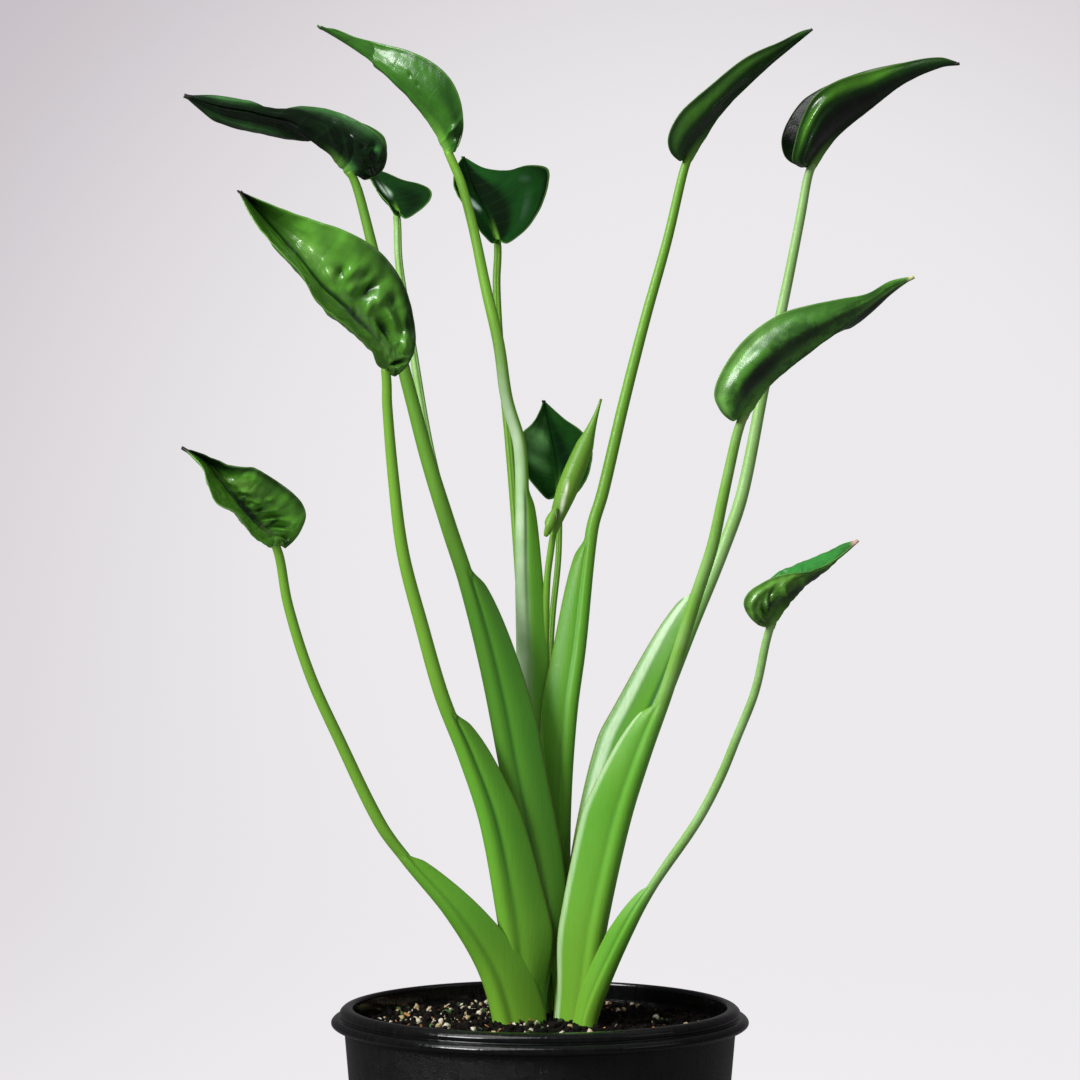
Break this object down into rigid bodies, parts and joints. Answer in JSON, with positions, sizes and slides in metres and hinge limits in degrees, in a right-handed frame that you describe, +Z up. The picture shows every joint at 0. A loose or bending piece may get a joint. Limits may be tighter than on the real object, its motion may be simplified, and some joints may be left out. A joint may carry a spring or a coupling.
{
  "type": "potted alocasia",
  "caption": "Potted alocasia: tall sheathed stalks fan out from potting mix in a round black nursery pot, each with a folded slipper-shaped leaf drawn out to a tip.",
  "frame": {"origin": "centre of the pot's flat base, on the surface that it stands on", "axes": "+Z up through the pot's mouth, -Y towards the front that the picture shows, +X to the right"},
  "size_m": [0.2996, 0.1928, 0.5208],
  "materials": {
    "pot_plastic": "satin",
    "soil": "matte",
    "stem": "satin",
    "waxy_stem": "satin",
    "leaf": "satin",
    "young_leaf": "satin"
  },
  "bodies": {
    "root": {"pot": "pot_plastic", "soil": "soil", "stalk_01": "stem", "stalk_02": "stem", "stalk_03": "stem", "stalk_04": "waxy_stem", "stalk_05": "stem", "stalk_06": "stem", "stalk_07": "stem", "stalk_08": "stem", "stalk_09": "waxy_stem", "stalk_10": "stem", "stalk_11": "stem", "stalk_12": "stem", "blade_01": "leaf", "blade_02": "leaf", "blade_03": "leaf", "blade_04": "leaf", "blade_05": "leaf", "blade_06": "leaf", "blade_07": "leaf", "blade_08": "young_leaf", "blade_09": "leaf", "blade_10": "leaf", "blade_11": "leaf", "blade_12": "leaf"}
  },
  "joints": []
}
